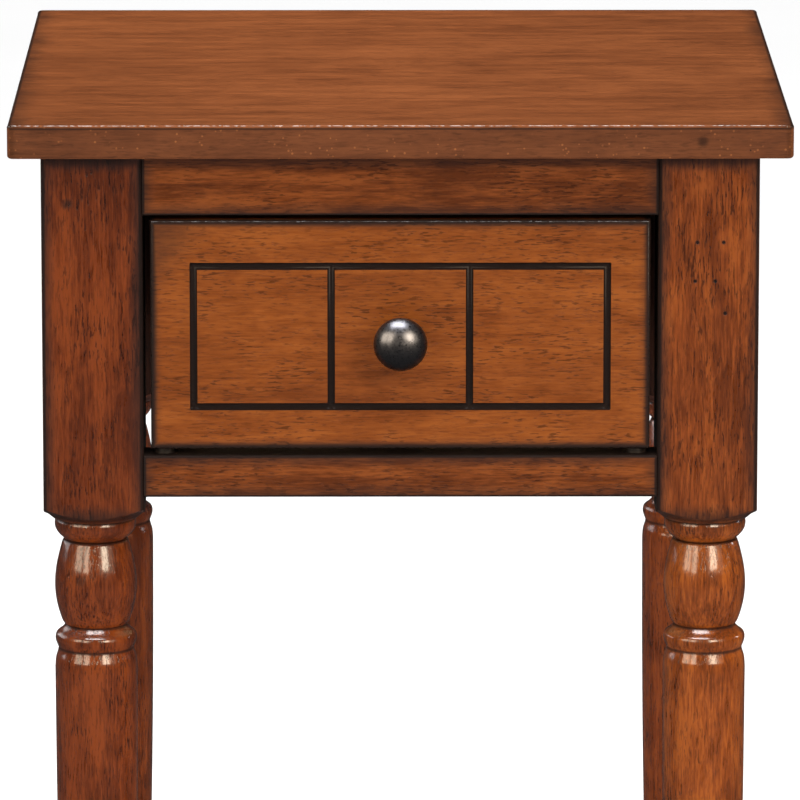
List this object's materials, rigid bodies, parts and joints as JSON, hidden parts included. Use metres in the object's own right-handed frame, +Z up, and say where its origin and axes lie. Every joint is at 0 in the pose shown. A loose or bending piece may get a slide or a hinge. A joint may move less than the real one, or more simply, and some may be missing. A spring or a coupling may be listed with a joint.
{
  "type": "side table with drawer",
  "caption": "Square side table with turned legs, a thin square top with rounded arrises, and one inset drawer with a grooved front and a round metal knob.",
  "frame": {"origin": "on the floor, under the centre of the table top", "axes": "+Z up, the drawer faces -Y, +X to the right when seen from the front"},
  "size_m": [0.406, 0.413, 0.635],
  "materials": {
    "stained_wood": "red-brown stain with a dark glaze at the arrises, under satin to gloss lacquer",
    "plain_wood": "sanded hardwood with a thin clear coat",
    "plywood": "sanded thin plywood",
    "knob_metal": "dark bronze, satin",
    "steel": "zinc plated",
    "nylon": "moulded",
    "buffer_rubber": "matt"
  },
  "bodies": {
    "table": {"table_top": "stained_wood", "leg_front_left": "stained_wood", "leg_front_right": "stained_wood", "leg_rear_left": "stained_wood", "leg_rear_right": "stained_wood", "upper_front_rail": "stained_wood", "lower_front_rail": "stained_wood", "side_apron_left": "stained_wood", "side_apron_right": "stained_wood", "back_apron": "stained_wood", "top_cleat_left": "plain_wood", "top_cleat_right": "plain_wood", "top_cleat_back": "plain_wood", "centre_runner": "plain_wood", "drawer_glides": "nylon", "drawer_bumpers": "buffer_rubber", "top_screws": "steel", "cleat_screws": "steel", "runner_screws": "steel", "foot_glide_front_left": "nylon", "foot_glide_front_right": "nylon", "foot_glide_rear_left": "nylon", "foot_glide_rear_right": "nylon", "foot_glide_nails": "steel"},
    "drawer": {"drawer_front": "stained_wood", "drawer_side_left": "plain_wood", "drawer_side_right": "plain_wood", "drawer_back": "plain_wood", "drawer_bottom": "plywood", "knob": "knob_metal", "knob_screw": "steel", "rear_guide": "nylon", "rear_guide_screws": "steel", "drawer_brads": "steel"}
  },
  "joints": [
    {"name": "drawer_slide", "type": "slide", "parent": "table", "child": "drawer", "axis": [0, -1, 0], "range_m": [0, 0.26]}
  ]
}
